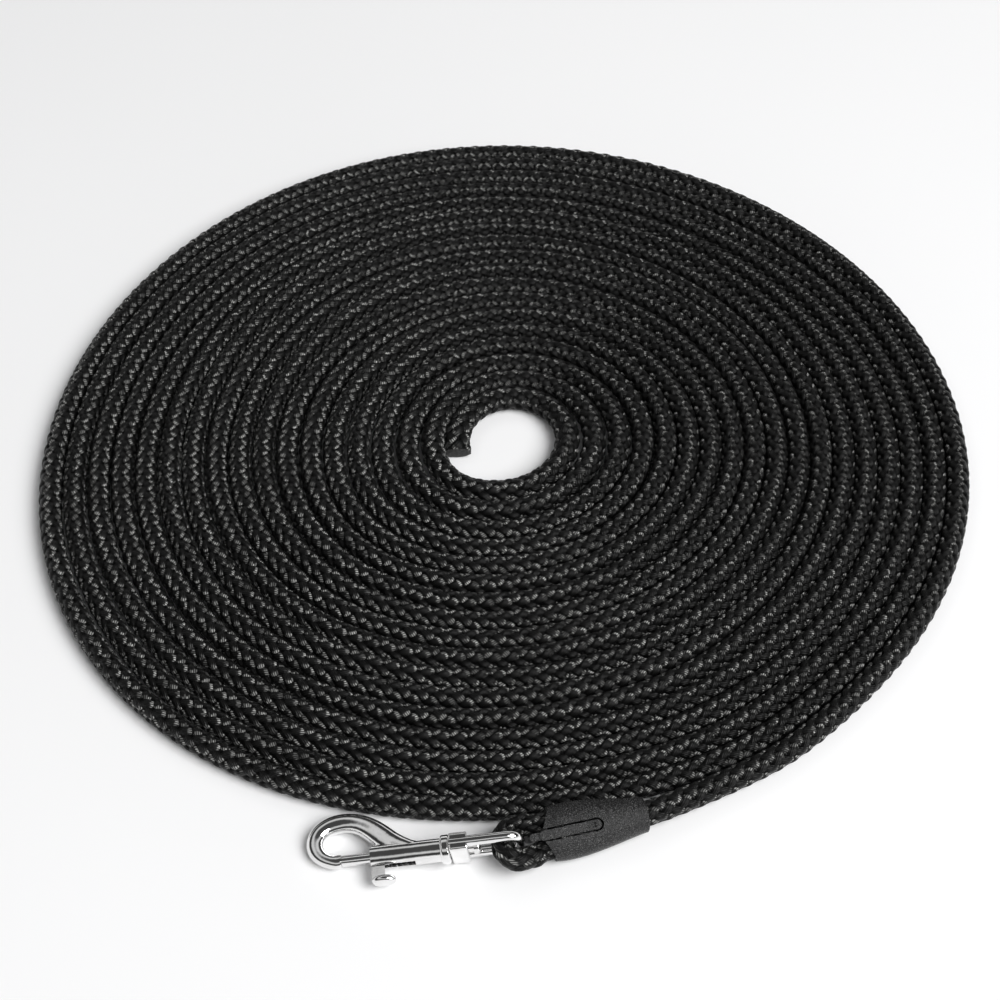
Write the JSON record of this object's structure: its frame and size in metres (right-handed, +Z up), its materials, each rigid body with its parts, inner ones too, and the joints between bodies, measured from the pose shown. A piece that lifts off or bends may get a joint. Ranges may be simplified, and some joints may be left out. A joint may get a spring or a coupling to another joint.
{
  "type": "training leash",
  "caption": "Long round braided training leash wound in a flat coil, with a plastic rope clip and a swivelling bolt snap that hooks on a collar.",
  "frame": {"origin": "under the middle of the snap and the clip, on the surface the leash lies on", "axes": "+X along the snap from its hook to its eye and on to the clip, +Y from the snap towards the coil, +Z up"},
  "size_m": [0.3242, 0.3364, 0.0155],
  "materials": {
    "rope": "braided nylon",
    "clip_plastic": "fine grain",
    "chrome": "polished",
    "spring_steel": "drawn wire"
  },
  "bodies": {
    "line": {"rope_coil": "rope", "rope_lead": "rope", "rope_loop": "rope", "clip_sleeve": "clip_plastic", "clip_wedge": "clip_plastic"},
    "eye": {"swivel_eye": "chrome"},
    "snap": {"snap_body": "chrome", "swivel_stud": "chrome", "bolt_spring": "spring_steel"},
    "bolt": {"snap_bolt": "chrome", "thumb_knob": "chrome"}
  },
  "joints": [
    {"name": "eye_swing", "type": "hinge", "parent": "line", "child": "eye", "pos_m": [0.01175, -0.0036, 0.00923], "axis": [0, 0, 1], "range_deg": [0, 45]},
    {"name": "swivel_spin", "type": "hinge", "parent": "eye", "child": "snap", "pos_m": [-0.0118, -0.0036, 0.00655], "axis": [0.9936, 0, 0.1132], "continuous": true},
    {"name": "bolt_slide", "type": "slide", "parent": "snap", "child": "bolt", "axis": [0.9936, 0, 0.1132], "range_m": [0, 0.009], "stiffness_N_per_m": 600, "springref_m": -0.004, "deforming": ["bolt_spring"]}
  ]
}
